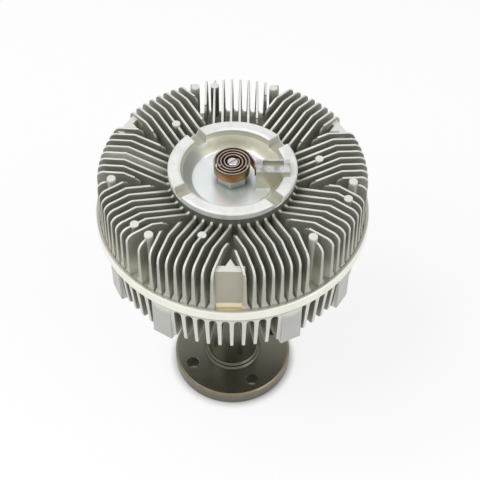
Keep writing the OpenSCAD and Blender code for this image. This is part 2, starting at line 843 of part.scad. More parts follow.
module plate_screws() {
    color(steel_colour) at_screws() {
        translate([0, 0, seat_z]) cylinder(d = screw_head_d, h = screw_head_h);
        translate([0, 0, seat_z]) cylinder(d = screw_d, h = plate_t + screw_len - past);
    }
}

module spindle_bush() {
    color(zinc_colour) difference() {
        union() {
            translate([0, 0, bush_z]) cylinder(r = bush_shank_r, h = dish_floor - bush_z + overlap);
            intersection() {
                translate([0, 0, dish_floor]) rotate([0, 0, hex_turn])
                    cylinder(d = hex_af / cos(30), h = hex_h, $fn = 6);
                rotate_extrude() polygon([
                    [0, dish_floor - past], [hex_af, dish_floor - past],
                    [hex_af, dish_floor + hex_h - hex_af / 2 * tan(30)],
                    [hex_af / 2, dish_floor + hex_h], [0, dish_floor + hex_h]
                ]);
            }
        }
        translate([0, 0, bush_z - past])
            cylinder(r = spindle_r + running, h = dish_floor + hex_h - bush_z + 2 * past);
        ring(spindle_r, spindle_r + running + spindle_seal_w, spindle_seal_z, spindle_seal_h);
    }
}

module spindle_seal() {
    color(rubber_colour)
        ring(spindle_r + running, spindle_r + running + spindle_seal_w, spindle_seal_z, spindle_seal_h);
}

module valve_spindle() {
    groove_r = spindle_r - small_clip_bite;
    clip_z = bush_z - small_clip_t - arm_gap;
    color(steel_colour) difference() {
        rotate_extrude() polygon([
            [0, arm_z], [arm_stud_r, arm_z], [arm_stud_r, arm_z + arm_t], [spindle_r, arm_z + arm_t],
            [spindle_r, clip_z], [groove_r, clip_z], [groove_r, clip_z + small_clip_t],
            [spindle_r, clip_z + small_clip_t], [spindle_r, coil_top - 0.6],
            [spindle_r - 0.6, coil_top], [0, coil_top]
        ]);
        rotate([0, 0, coil_end_angle])
            translate([-spindle_r - past, -slot_w / 2, coil_top - slot_depth])
                cube([2 * (spindle_r + past), slot_w, slot_depth + past]);
    }
}

module valve_arm() {
    root_r = arm_w / 2;
    color(steel_colour) difference() {
        translate([0, 0, arm_z]) linear_extrude(arm_t) union() {
            circle(r = root_r);
            polygon([[0, -root_r], [arm_len - arm_tip_w / 2, -arm_tip_w / 2],
                [arm_len - arm_tip_w / 2, arm_tip_w / 2], [0, root_r]]);
            translate([arm_len - arm_tip_w / 2, 0]) circle(d = arm_tip_w);
        }
        translate([0, 0, arm_z - past]) cylinder(r = arm_stud_r, h = arm_t + 2 * past);
    }
}

module spindle_circlip() {
    clip_z = bush_z - small_clip_t - arm_gap;
    color(steel_colour)
        circlip(spindle_r - small_clip_bite, spindle_r + small_clip_stand, clip_z, small_clip_t, 60,
            spindle_r + small_clip_stand / 2, small_clip_stand);
}

module bimetal_coil() {
    color(bronze_colour) translate([0, 0, coil_z])
        linear_extrude(coil_h) polygon(strip_outline(coil_points(), coil_t));
}

drive_shaft();
bearing_inner_race();
bearing_outer_race();
bearing_balls();
bearing_cage_rear();
bearing_cage_front();
bearing_shield_rear();
bearing_shield_front();
bearing_circlip();
rotor();
rotor_circlip();
rear_body();
front_cover();
housing_seal();
partition_plate();
plate_screws();
spindle_bush();
spindle_seal();
valve_spindle();
valve_arm();
spindle_circlip();
bimetal_coil();
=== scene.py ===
"""Looks of a viscous fan clutch: finishes, a wound coil, arched rear gaps, bolt threads and a studio."""

import json
import math

import bpy
import numpy as np
from bpy.props import FloatProperty, FloatVectorProperty, IntProperty, PointerProperty
from mathutils import Matrix, Vector


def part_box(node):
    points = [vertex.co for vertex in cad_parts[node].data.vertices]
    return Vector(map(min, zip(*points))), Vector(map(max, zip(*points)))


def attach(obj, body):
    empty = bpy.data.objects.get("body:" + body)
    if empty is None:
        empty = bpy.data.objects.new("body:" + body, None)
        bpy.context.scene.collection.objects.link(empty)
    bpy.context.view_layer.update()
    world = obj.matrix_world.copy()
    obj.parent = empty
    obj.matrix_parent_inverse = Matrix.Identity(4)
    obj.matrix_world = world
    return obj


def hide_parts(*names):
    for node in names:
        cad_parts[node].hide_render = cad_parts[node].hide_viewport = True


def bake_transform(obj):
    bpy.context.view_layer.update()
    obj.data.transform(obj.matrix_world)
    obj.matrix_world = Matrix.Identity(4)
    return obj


bl_info = {
    "name": "Fan Clutch Finishes",
    "version": (1, 0, 0),
    "blender": (4, 5, 0),
    "location": "View3D > Sidebar > Fan Clutch",
    "description": "Finishes, wound coil, rear arches, bolt threads and studio for a viscous fan clutch",
    "category": "Object",
}

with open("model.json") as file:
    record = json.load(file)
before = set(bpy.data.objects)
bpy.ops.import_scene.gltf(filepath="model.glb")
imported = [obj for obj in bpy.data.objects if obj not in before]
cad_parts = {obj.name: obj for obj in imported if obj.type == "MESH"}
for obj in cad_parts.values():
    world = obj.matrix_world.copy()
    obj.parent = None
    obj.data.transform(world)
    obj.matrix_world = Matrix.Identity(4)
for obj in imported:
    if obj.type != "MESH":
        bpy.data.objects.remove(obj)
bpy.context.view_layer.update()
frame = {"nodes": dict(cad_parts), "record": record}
MM = 0.001

# Levels and radii of the solids, in metres
HOUSING_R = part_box("rear_body")[1].x
COIL_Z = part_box("bimetal_coil")[0].z
BOSS_Z = 147 * MM
REAR_TIP_Z = 150 * MM
FLANGE_UNDER = 184 * MM
REAR_FIN_LOW_R = HOUSING_R - 8 * MM
REAR_FIN_TOP_R = HOUSING_R - 5 * MM
BAND_LOW = 190.8 * MM
BAND_TOP = 200.5 * MM
LEDGE_Z = 199 * MM
FIN_FOOT_R = 100 * MM
FIN_HUB_Z = 228.5 * MM
CREST_R = 79.3 * MM
CREST_Z = 241.9 * MM
BROW_R = 92.3 * MM
BROW_Z = 240.3 * MM
BROW_ROUND = 7 * MM
RIM_WALL_R = 46.6 * MM
RIM_R = 47.5 * MM
RIM_TOP = 241.5 * MM
RIM_INNER_R = 37.5 * MM
DISH_FLOOR = 228.5 * MM
DISH_FLOOR_R = 31 * MM
FLANGE_R = 50 * MM
FLANGE_TOP = 13 * MM
SPINDLE_R = 4 * MM

# Places of the cover's pads and of the anchor block
PAD_CLOCK = 29
PAD_W = 20.4 * MM
PAD_TIP_R = 83.6 * MM
PAD_TOP = 237 * MM
PAD_STEP_Z = 204 * MM
POST_R = 88.4 * MM
POST_W = 3.2 * MM
GROUP_STEP = 40
ANCHOR_X = (17 * MM, 41.5 * MM)
ANCHOR_Y = (-10.8 * MM, 1.8 * MM)
ANCHOR_TOP = 246.5 * MM

# Two fin sides painted bright as a glare, by their places across their group's direction
GLARE_AT = math.radians(169)
GLARE_FLANK = (2.6 * MM, 6 * MM)
HALF_GLARE_FLANK = (-4 * MM, -0.8 * MM)
GLARE_X = (-88 * MM, -56 * MM)

# Places of the fan bolt holes
BOSS_CLOCK = 42
BOSS_SPLIT = 32
BOSS_PAIRS = 4

# Gaps between the rear fins, with angles in degrees
REAR_FIN_STEP = 5.26
GAP_HALF = 2.85 * MM
BOSS_GAP_AT = 10.1
BOSS_GAP_HALF = 2.1 * MM
ARCH_WEB = 1.4 * MM
ARCH_INNER_R = 90.6 * MM

# Limits for the rounding and the shading of edges
JOIN_GAP = 0.005 * MM
FLAT_ANGLE = math.radians(0.5)
SHARP_ANGLE = math.radians(35)
CREASE_ANGLE = math.radians(25)
CREASE_REACH = FIN_FOOT_R - 6 * MM

# Lamps and floor
KEY_SIZE = 1.3
KEY_PLACE = (-0.95, -0.3, 1.6)
FILL_SIZE = 1.0
FILL_PLACE = (1.0, -0.55, 1.0)
LAMP_AIM = (0, 0, 0.18)
FLOOR_HALF = 4.0
GLOW_STRENGTH = 1.11
GLOW_SHARE = 0.64
SHADOW_SHARE = 0.06
SENSOR_WIDTH = 36
WHITE = (1, 1, 1, 1)


class CastingLook(bpy.types.PropertyGroup):
    """Colours of the two castings and the width of their rounded edges."""

    # Crest colour: partly bare worn metal, partly painted top light
    crest: FloatVectorProperty(
        name="Fin crests", description="Colour of the fins' bare crests",
        subtype="COLOR", min=0, max=1, default=(0.84, 0.84, 0.79))
    outer: FloatVectorProperty(
        name="Outer edges", description="Colour of the fins' upright outer edges",
        subtype="COLOR", min=0, max=1, default=(0.56, 0.55, 0.48))
    flank: FloatVectorProperty(
        name="Fin sides", description="Colour of the fins' sides just under the crests",
        subtype="COLOR", min=0, max=1, default=(0.34, 0.34, 0.29))
    gap: FloatVectorProperty(
        name="Fin gaps", description="Colour of the metal deep between the fins",
        subtype="COLOR", min=0, max=1, default=(0.56, 0.56, 0.49))
    foot: FloatVectorProperty(
        name="Fin feet", description="Colour of the fins' sides near their feet",
        subtype="COLOR", min=0, max=1, default=(0.68, 0.67, 0.58))
    ledge: FloatVectorProperty(
        name="Ledge", description="Colour of the ledge at the fins' feet",
        subtype="COLOR", min=0, max=1, default=(0.52, 0.51, 0.43))
    pad: FloatVectorProperty(
        name="Clamping pads", description="Colour of the clamping pads' faces",
        subtype="COLOR", min=0, max=1, default=(0.52, 0.5, 0.41))
    sill: FloatVectorProperty(
        name="Pad sills", description="Colour of the clamping pads' sills",
        subtype="COLOR", min=0, max=1, default=(0.82, 0.74, 0.52))
    rim: FloatVectorProperty(
        name="Dish rim", description="Colour of the dish's rim",
        subtype="COLOR", min=0, max=1, default=(0.9, 0.91, 0.88))
    wall: FloatVectorProperty(
        name="Dish wall", description="Colour of the dish's sloping wall",
        subtype="COLOR", min=0, max=1, default=(0.67, 0.66, 0.54))
    dish: FloatVectorProperty(
        name="Dish floor", description="Colour of the dish's floor",
        subtype="COLOR", min=0, max=1, default=(0.88, 0.93, 0.93))
    anchor: FloatVectorProperty(
        name="Anchor block", description="Colour of the anchor block",
        subtype="COLOR", min=0, max=1, default=(0.47, 0.46, 0.37))
    skin: FloatVectorProperty(
        name="Cast skin", description="Colour of the rear casting's skin",
        subtype="COLOR", min=0, max=1, default=(0.6, 0.6, 0.57))
    rear_edge: FloatVectorProperty(
        name="Rear fin edges", description="Colour of the rear fins' outer edges",
        subtype="COLOR", min=0, max=1, default=(0.82, 0.81, 0.76))
    band: FloatVectorProperty(
        name="Turned band", description="Colour of the turned band",
        subtype="COLOR", min=0, max=1, default=(0.96, 0.95, 0.86))
    rounding: FloatProperty(
        name="Rounding", description="Width of the rounded edges of the castings",
        subtype="DISTANCE", unit="LENGTH", min=0, max=0.001, default=0.0003)


class SteelLook(bpy.types.PropertyGroup):
    """Colours of the shaft, the bush and the small steel parts."""

    phosphate: FloatVectorProperty(
        name="Phosphate", description="Colour of the shaft's dark phosphate skin",
        subtype="COLOR", min=0, max=1, default=(0.17, 0.16, 0.125))
    worn: FloatVectorProperty(
        name="Worn edge", description="Colour of the shaft's rubbed edges",
        subtype="COLOR", min=0, max=1, default=(0.24, 0.2, 0.13))
    zinc: FloatVectorProperty(
        name="Zinc", description="Colour of the bush's zinc plate",
        subtype="COLOR", min=0, max=1, default=(0.31, 0.335, 0.31))
    bright: FloatVectorProperty(
        name="Bright steel", description="Colour of ground and turned steel",
        subtype="COLOR", min=0, max=1, default=(0.6, 0.6, 0.6))
    brass: FloatVectorProperty(
        name="Cage brass", description="Colour of the bearing cages",
        subtype="COLOR", min=0, max=1, default=(0.62, 0.42, 0.16))
    rubber: FloatVectorProperty(
        name="Rubber", description="Colour of the seals",
        subtype="COLOR", min=0, max=1, default=(0.02, 0.02, 0.02))
    rounding: FloatProperty(
        name="Rounding", description="Width of the rounded edges of the steel parts",
        subtype="DISTANCE", unit="LENGTH", min=0, max=0.001, default=0.0003)


class CoilSizes(bpy.types.PropertyGroup):
    """Sizes and colours of the bimetal coil and the bolt threads."""

    diameter: FloatProperty(
        name="Coil diameter", description="Outer diameter of the coil",
        subtype="DISTANCE", unit="LENGTH", min=0.02, max=0.032, default=0.03)
    height: FloatProperty(
        name="Strip height", description="Height of the bimetal strip",
        subtype="DISTANCE", unit="LENGTH", min=0.007, max=0.012, default=0.009)
    thickness: FloatProperty(
        name="Strip thickness", description="Thickness of the bimetal strip",
        subtype="DISTANCE", unit="LENGTH", min=0.0007, max=0.001, default=0.00095)
    turns: IntProperty(
        name="Turns", description="Number of turns of the coil", min=3, max=5, default=4)
    end_angle: FloatProperty(
        name="End angle", description="Angle at which the outermost turn ends",
        subtype="ANGLE", unit="ROTATION", default=math.radians(35))
    tail_x: FloatProperty(
        name="Tail", description="Distance of the coil's tail from the axis",
        subtype="DISTANCE", unit="LENGTH", default=0.016475)
    bronze: FloatVectorProperty(
        name="Bronze side", description="Colour of the strip's sides",
        subtype="COLOR", min=0, max=1, default=(0.19, 0.14, 0.045))
    heated: FloatVectorProperty(
        name="Heated side", description="Colour of the strip's sides where heat has tinted them",
        subtype="COLOR", min=0, max=1, default=(0.29, 0.115, 0.05))
    cut: FloatVectorProperty(
        name="Cut edge", description="Colour of the strip's cut edges",
        subtype="COLOR", min=0, max=1, default=(0.45, 0.37, 0.33))
    thread_pitch: FloatProperty(
        name="Thread pitch", description="Pitch of the fan bolt threads",
        subtype="DISTANCE", unit="LENGTH", min=0.0005, max=0.002, default=0.00125)


class StudioSet(bpy.types.PropertyGroup):
    """Camera, lamps and floor."""

    lens: FloatProperty(
        name="Lens", description="Focal length on a 36 mm sensor",
        subtype="DISTANCE_CAMERA", unit="CAMERA", default=86.29)
    camera: FloatVectorProperty(
        name="Camera", description="Place of the camera",
        subtype="TRANSLATION", unit="LENGTH", default=(0.0, -0.58251, 0.84573))
    aim: FloatVectorProperty(
        name="Aim", description="Point that the camera looks at",
        subtype="TRANSLATION", unit="LENGTH", default=(0.00578, 0.0, 0.15808))
    roll: FloatProperty(
        name="Roll", description="Turn of the camera about its own axis",
        subtype="ANGLE", unit="ROTATION", default=0.00756)
    key: FloatProperty(
        name="Key lamp", description="Power of the large lamp above",
        subtype="POWER", unit="POWER", min=0, default=13.0)
    fill: FloatProperty(
        name="Fill lamp", description="Power of the lamp at the side",
        subtype="POWER", unit="POWER", min=0, default=3.6)
    sky: FloatProperty(
        name="Sky", description="Strength of the even light from all round",
        min=0, max=1, default=0.42)
    floor: FloatVectorProperty(
        name="Floor", description="Colour of the floor",
        subtype="COLOR", min=0, max=1, default=(0.94, 0.94, 0.94))


class Wire:
    """A value in a finish. Sums and products of wires add Math nodes."""

    def __init__(self, finish, socket):
        self.finish = finish
        self.socket = socket

    def maths(self, operation, *others):
        return self.finish.add("ShaderNodeMath", {"operation": operation}, dict(enumerate((self, *others))))

    def __add__(self, other):
        return self.maths("ADD", other)

    __radd__ = __add__

    def __mul__(self, other):
        return self.maths("MULTIPLY", other)

    __rmul__ = __mul__

    def __sub__(self, other):
        return self.maths("SUBTRACT", other)

    def __rsub__(self, other):
        return self.finish.add("ShaderNodeMath", {"operation": "SUBTRACT"}, {0: other, 1: self})

    def __pow__(self, other):
        return self.maths("POWER", other)

    def least(self, other):
        return self.maths("MINIMUM", other)

    def most(self, other):
        return self.maths("MAXIMUM", other)

    def size(self):
        return self.maths("ABSOLUTE")


class Finish:
    """A material that is put together node by node on the solids' own coordinates."""

    def __init__(self, name):
        self.material = bpy.data.materials.new(name)
        self.material.use_nodes = True
        self.nodes = self.material.node_tree.nodes
        self.links = self.material.node_tree.links
        self.nodes.clear()
        self.shader = self.nodes.new("ShaderNodeBsdfPrincipled")
        output = self.nodes.new("ShaderNodeOutputMaterial")
        self.links.new(self.shader.outputs["BSDF"], output.inputs["Surface"])
        self.place = self.add("ShaderNodeTexCoord", output="Object")
        self.x, self.y, self.z = self.split(self.place)
        self.radius = (self.x * self.x + self.y * self.y) ** 0.5
        self.upward = self.split(Wire(self, self.place.socket.node.outputs["Normal"]))[2]

    def add(self, kind, settings=None, sockets=None, output=0):
        """Adds a node, sets it up, fills its sockets with values or wires and returns one output."""
        node = self.nodes.new(kind)
        for name, value in (settings or {}).items():
            setattr(node, name, value)
        for name, value in (sockets or {}).items():
            if isinstance(value, Wire):
                self.links.new(value.socket, node.inputs[name])
            else:
                node.inputs[name].default_value = value
        return Wire(self, node.outputs[output]) if node.outputs else None

    def split(self, vector):
        node = self.add("ShaderNodeSeparateXYZ", None, {0: vector}).socket.node
        return [Wire(self, socket) for socket in node.outputs]

    def step(self, value, low, high):
        """Rises softly from 0 at low to 1 at high, also where high is the smaller one."""
        ends = {"Value": value, "From Min": low, "From Max": high}
        return self.add("ShaderNodeMapRange", {"interpolation_type": "SMOOTHSTEP"}, ends)

    def span(self, value, low, high, start, end):
        """Goes straight from start at low to end at high and stays there."""
        ends = {"Value": value, "From Min": low, "From Max": high, "To Min": start, "To Max": end}
        return self.add("ShaderNodeMapRange", None, ends)

    def within(self, value, ends, soft=0.2 * MM):
        """1 between the two ends, with soft edges outside them."""
        return self.step(value, ends[0] - soft, ends[0]) * self.step(value, ends[1] + soft, ends[1])

    def folded(self, clock, step):
        """Distances along and across the nearest of the directions that are a step in degrees apart."""
        half = math.radians(step / 2)
        angle = (self.y.maths("ARCTAN2", self.x) - math.radians(clock)).maths("WRAP", half, -half)
        return self.radius * angle.maths("COSINE"), self.radius * angle.maths("SINE")

    def noise(self, grain, detail, place=None):
        """Clouds of about the given grain in metres."""
        sockets = {"Vector": place or self.place, "Scale": 1 / grain, "Detail": detail, "Roughness": 0.55}
        return self.add("ShaderNodeTexNoise", None, sockets)

    def pits(self, grain):
        """Small round dots, 1 in their middle."""
        rim = 0.32
        middle = 0.12
        sockets = {"Vector": self.place, "Scale": 1 / grain, "Randomness": 1.0}
        return self.step(self.add("ShaderNodeTexVoronoi", None, sockets), rim, middle)

    def stretched(self, along, around):
        """Coordinates that draw noise out into rings about the axis."""
        angle = self.y.maths("ARCTAN2", self.x)
        sockets = {0: angle * (HOUSING_R * along / around), 1: self.radius, 2: self.z}
        return self.add("ShaderNodeCombineXYZ", None, sockets)

    def mix(self, share, first, second):
        """A colour between two colours."""
        ends = [(*c, 1.0) if not isinstance(c, Wire) else c for c in (first, second)]
        return self.add("ShaderNodeMix", {"data_type": "RGBA"}, {0: share, 6: ends[0], 7: ends[1]}, 2)

    def tint(self, colour, share):
        """A colour made lighter or darker by a share round 1."""
        sockets = {0: 1.0, 6: colour if isinstance(colour, Wire) else (*colour, 1.0)}
        grey = self.add("ShaderNodeCombineColor", None, {0: share, 1: share, 2: share})
        settings = {"data_type": "RGBA", "blend_type": "MULTIPLY"}
        return self.add("ShaderNodeMix", settings, {**sockets, 7: grey}, 2)

    def bump(self, height, depth):
        """Relief of the given depth in metres, for the shader's normal."""
        sockets = {"Strength": 1.0, "Distance": depth, "Height": height}
        return self.add("ShaderNodeBump", None, sockets, "Normal")

    def fill(self, **sockets):
        """Fills the shader's sockets, with spaces for the underscores in their names."""
        for name, value in sockets.items():
            socket = self.shader.inputs[name.replace("_", " ")]
            if isinstance(value, Wire):
                self.links.new(value.socket, socket)
            else:
                socket.default_value = value
        return self.material


def fin_depth(f):
    """How deep a point lies inside the surface that all crests and outer edges follow."""
    rise = f.span(f.radius, RIM_WALL_R, CREST_R, CREST_Z - FIN_HUB_Z, 0)
    fall = f.span(f.radius, CREST_R, BROW_R, 0, CREST_Z - BROW_Z)
    out = (f.radius - BROW_R).most(0.0)
    drop = BROW_ROUND - (BROW_ROUND ** 2 - out * out).most(0.0) ** 0.5
    lean = 0.7 * MM
    edge = f.span(f.z, LEDGE_Z, BROW_Z - BROW_ROUND, FIN_FOOT_R, FIN_FOOT_R - lean)
    return (CREST_Z - f.z - rise - fall - drop).least(edge - f.radius)


def painted_glare_share(f, blotch):
    """How far the side of one fin carries a painted glare, and half as far the next one."""
    soft = 0.4 * MM
    fade = 12 * MM
    across = f.y * math.cos(GLARE_AT) - f.x * math.sin(GLARE_AT)
    sides = f.within(across, GLARE_FLANK, soft) + f.within(across, HALF_GLARE_FLANK, soft) * 0.5
    return sides * f.within(f.x, GLARE_X, fade) * (0.75 + blotch * 0.5)


def fin_colour(f, look, blotch):
    """Bright crests, grey outer edges, and dark sides that grow paler in the depth; the bright crests are
    partly worn metal, partly painted top light, and the paler depth is painted light.
    """
    wander = 0.3 * MM
    skin = (0.2 * MM, 0.9 * MM)
    dark = (3 * MM, 24 * MM)
    below_brow = (BROW_Z - 4 * MM, BROW_Z - 12 * MM)
    above_ledge = (LEDGE_Z - 3 * MM, LEDGE_Z + 7 * MM)
    foot = (LEDGE_Z + 24 * MM, LEDGE_Z + 6 * MM)
    depth = fin_depth(f) + (blotch - 0.5) * wander
    upright = f.step(f.z, *below_brow) * f.step(f.z, *above_ledge)
    # Partly worn metal, partly painted top light: outer edges are bright near the brow and the ledge, grey
    # between
    bare_and_lit = f.mix(upright, look.crest, look.outer)
    # Painted light: the sides grow paler deep in the gaps, where little light reaches
    sides = f.mix(f.step(depth, *dark), look.flank, look.gap)
    sides = f.mix(f.step(f.z, *foot), sides, look.foot)
    # Painted glare: two fin sides take the crest colour
    sides = f.mix(painted_glare_share(f, blotch), sides, look.crest)
    colour = f.mix(f.step(depth, *skin), bare_and_lit, sides)
    # Painted highlight on the fins' feet, in the crest colour
    colour = f.mix(painted_foot_highlight(f), colour, look.crest)
    return f.mix(f.step(f.z, LEDGE_Z + 0.6 * MM, LEDGE_Z + 0.2 * MM), colour, look.ledge)


def painted_foot_highlight(f):
    """1 where highlights are painted: on the up-facing sloping flares at the fins' feet and on pale specks
    low on their outer edges.
    """
    slope = (0.2, 0.34)
    flare_top = (LEDGE_Z + 11 * MM, LEDGE_Z + 9 * MM)
    speck_level = (LEDGE_Z + 1 * MM, LEDGE_Z + 4.5 * MM)
    speck_r = (FIN_FOOT_R - 6 * MM, FIN_FOOT_R - 4 * MM)
    flare = f.step(f.upward, *slope) * f.step(f.z, *flare_top)
    specks = f.pits(grain=2.6 * MM) * f.within(f.z, speck_level, 1 * MM) * f.step(f.radius, *speck_r)
    return flare.most(specks)


def pad_colour(f, look, fins):
    """Warm grey clamping pads with white tops and cream sills, and pale ejector posts."""
    along, across = f.folded(PAD_CLOCK, GROUP_STEP)
    post = f.step(((along - POST_R) ** 2 + across * across) ** 0.5, POST_W + 0.3 * MM, POST_W + 0.1 * MM)
    colour = f.mix(post * f.step(f.z, LEDGE_Z, CREST_Z), fins, look.outer)
    colour = f.mix(post * f.step(f.z, CREST_Z - 0.5 * MM, CREST_Z), colour, look.crest)
    along, across = f.folded(PAD_CLOCK, 3 * GROUP_STEP)
    pad = f.step(across.size(), PAD_W / 2 + 0.3 * MM, PAD_W / 2)
    pad = pad * f.step(along, PAD_TIP_R - 0.3 * MM, PAD_TIP_R)
    pad = pad * f.step(f.z, PAD_TOP + 0.4 * MM, PAD_TOP + 0.2 * MM)
    face = f.mix(f.step(f.z, PAD_STEP_Z + 0.2 * MM, PAD_STEP_Z - 0.2 * MM), look.pad, look.sill)
    face = f.mix(f.step(f.z, PAD_TOP - 0.5 * MM, PAD_TOP - 0.2 * MM), face, look.crest)
    return f.mix(pad, colour, face)


def dish_colour(f, look, cover, stain):
    """A stained pale rim, an olive wall, a bluish floor and a rough warm grey anchor block."""
    hub_dirt_and_shade = 0.6
    painted_side_shade_tint = 0.34
    painted_coil_shadow_tint = 0.36
    notch_shade = 0.72
    rim_foot = (RIM_TOP - 6.6 * MM, RIM_TOP - 5.6 * MM)
    painted_side_shade_x = (-16 * MM, -36 * MM)
    painted_coil_shadow_r = (18 * MM, 9.5 * MM)
    notch_r = (RIM_INNER_R - 1 * MM, RIM_R - 0.8 * MM)
    notch_z = (RIM_TOP - 6 * MM, RIM_TOP - 1.4 * MM)
    hub = f.step(f.radius, RIM_WALL_R + 0.3 * MM, RIM_WALL_R + 0.1 * MM)
    # The hub wall under the rim is darkened: partly dirt, partly painted shade
    colour = f.mix(hub, cover, f.tint(look.flank, hub_dirt_and_shade))
    band = f.step(f.radius, RIM_R + 0.4 * MM, RIM_R + 0.2 * MM) * f.step(f.z, *rim_foot)
    colour = f.mix(band, colour, f.tint(look.rim, 1.04 - stain * 0.16))
    bowl = f.step(f.radius, RIM_INNER_R + 1.2 * MM, RIM_INNER_R)
    bowl = bowl * f.step(f.z, DISH_FLOOR - 1 * MM, DISH_FLOOR - 0.3 * MM)
    slope = f.mix(f.step(f.z, RIM_TOP - 5 * MM, RIM_TOP - 1 * MM), look.wall, look.rim)
    # Painted shade: the dish wall is darkened on its left side, away from the light
    painted_side_shade = f.step(f.x, *painted_side_shade_x) * f.step(f.z, RIM_TOP - 1 * MM, RIM_TOP - 3 * MM)
    slope = f.mix(painted_side_shade, slope, f.tint(look.dish, painted_side_shade_tint))
    floor = f.step(f.z, DISH_FLOOR + 1.2 * MM, DISH_FLOOR + 0.3 * MM)
    # Painted shadow and reflection: the floor is darkened round the axis, under the coil and the hex
    floor_with_painted_shadow = f.mix(f.step(f.radius, *painted_coil_shadow_r), look.dish, f.tint(look.dish, painted_coil_shadow_tint))
    colour = f.mix(bowl, colour, f.mix(floor, slope, floor_with_painted_shadow))
    notch = f.within(f.radius, notch_r) * f.within(f.z, notch_z, 0.6 * MM)
    colour = f.mix(notch, colour, f.tint(look.wall, notch_shade))
    block = f.within(f.x, ANCHOR_X) * f.within(f.y, ANCHOR_Y)
    block = block * f.step(f.z, DISH_FLOOR + 0.2 * MM, DISH_FLOOR + 0.6 * MM)
    top = f.step(f.z, ANCHOR_TOP - 0.6 * MM, ANCHOR_TOP - 0.3 * MM)
    return f.mix(block, colour, f.mix(top, look.anchor, f.tint(look.rim, 0.8 - stain * 0.5)))


def cover_finish(look):
    """Cast aluminium with bright crests, dark gaps, pale pads and a machined dish."""
    f = Finish("cover_cast_aluminium")
    blotch = f.noise(grain=14 * MM, detail=5)
    grain = f.noise(grain=0.9 * MM, detail=3)
    stain = f.step(f.noise(grain=7 * MM, detail=6), 0.36, 0.74)
    colour = dish_colour(f, look, pad_colour(f, look, fin_colour(f, look, blotch)), stain)
    colour = f.tint(colour, blotch * 0.2 + 0.9)
    bowl = f.step(f.radius, RIM_INNER_R + 1 * MM, RIM_INNER_R)
    floor = f.step(f.radius, DISH_FLOOR_R + 1 * MM, DISH_FLOOR_R)
    floor = floor * f.step(f.z, DISH_FLOOR + 1 * MM, DISH_FLOOR)
    rings = f.noise(grain=0.6 * MM, detail=2, place=f.stretched(along=0.5 * MM, around=30 * MM))
    pitted = f.pits(grain=2.4 * MM) * f.step(f.noise(grain=9 * MM, detail=2), 0.52, 0.62) * (1 - bowl)
    height = (grain * 0.6 + blotch * 0.5) * (1 - bowl * 0.9) - pitted * 0.7 + rings * floor * 0.06
    rough = 0.52 - bowl * 0.19 + (grain - 0.5) * (0.2 - bowl * 0.14)
    normal = f.bump(height, depth=0.09 * MM)
    return f.fill(Base_Color=colour, Metallic=0.3 + bowl * 0.3, Roughness=rough, Normal=normal)


def body_finish(look):
    """Cast aluminium with a bright turned band and gaps between the rear fins darkened partly by dirt,
    partly by painted shade.
    """
    f = Finish("body_cast_aluminium")
    blotch = f.noise(grain=16 * MM, detail=5)
    grain = f.noise(grain=0.9 * MM, detail=3)
    band = f.step(f.z, BAND_LOW - 0.3 * MM, BAND_LOW)
    band = band * f.step(f.radius, HOUSING_R - 4 * MM, HOUSING_R - 3 * MM)
    turning = f.noise(grain=0.5 * MM, detail=3, place=f.stretched(along=0.35 * MM, around=60 * MM))
    depth = f.span(f.z, REAR_TIP_Z, FLANGE_UNDER, REAR_FIN_LOW_R, REAR_FIN_TOP_R) - f.radius
    below = f.step(f.z, FLANGE_UNDER + 1 * MM, FLANGE_UNDER)
    skin = f.mix(f.step(depth, -0.8 * MM, -0.3 * MM) * below, look.skin, look.rear_edge)
    # Gaps between the rear fins darkened: partly dirt, partly painted shade
    skin = f.mix(f.step(depth, 0.3 * MM, 1.2 * MM) * below, skin, look.flank)
    lip = f.step(f.z, BAND_TOP - 0.7 * MM, BAND_TOP - 0.3 * MM)
    colour = f.tint(f.mix(band, skin, f.mix(lip, look.band, look.ledge)), blotch * 0.2 + 0.9)
    pitted = f.pits(grain=2.6 * MM) * f.step(f.noise(grain=8 * MM, detail=2), 0.5, 0.6) * (1 - band)
    height = (grain * 0.6 + blotch * 0.5) * (1 - band) - pitted * 0.7 + turning * band * 0.5
    rough = 0.55 - band * 0.15 + (grain - 0.5) * 0.15
    normal = f.bump(height, depth=0.08 * MM)
    return f.fill(Base_Color=colour, Metallic=0.4 + band * 0.2, Roughness=rough, Normal=normal)


def shaft_finish(look):
    """Dark phosphated steel with fine turning lines, rubbed brown at its edges."""
    f = Finish("shaft_phosphated_steel")
    neck_r = (26 * MM, 24 * MM)
    cloud = f.noise(grain=18 * MM, detail=4)
    speck = f.noise(grain=0.7 * MM, detail=2)
    lines = f.noise(grain=0.4 * MM, detail=2, place=f.stretched(along=0.4 * MM, around=45 * MM))
    corner = f.step(f.radius, FLANGE_R - 1.9 * MM, FLANGE_R - 1.3 * MM)
    corner = corner * f.step(f.z, FLANGE_TOP - 2 * MM, FLANGE_TOP - 1.3 * MM)
    rubbed = corner * f.step(cloud, 0.3, 0.5)
    colour = f.mix(rubbed, look.phosphate, look.worn)
    neck = f.step(f.radius, *neck_r)
    colour = f.tint(colour, cloud * 0.3 + speck * 0.1 + lines * 0.1 + 0.75 - neck * 0.3)
    rough = 0.2 + cloud * 0.1 + (speck - 0.5) * 0.04
    normal = f.bump(lines * 0.6 + speck * 0.4, depth=0.006 * MM)
    return f.fill(Base_Color=colour, Metallic=0.85, Roughness=rough, Normal=normal)


def steel_finish(name, colour, rough, ring=0.5 * MM):
    """Ground or turned metal with fine rings about the axis."""
    f = Finish(name)
    cloud = f.noise(grain=6 * MM, detail=4)
    lines = f.noise(grain=ring, detail=2, place=f.stretched(along=ring, around=30 * MM))
    tone = f.tint(colour, cloud * 0.24 + lines * 0.16 + 0.8)
    rough = rough + (cloud - 0.5) * 0.16 + lines * 0.05
    return f.fill(Base_Color=tone, Metallic=0.95, Roughness=rough, Normal=f.bump(lines, depth=0.02 * MM))


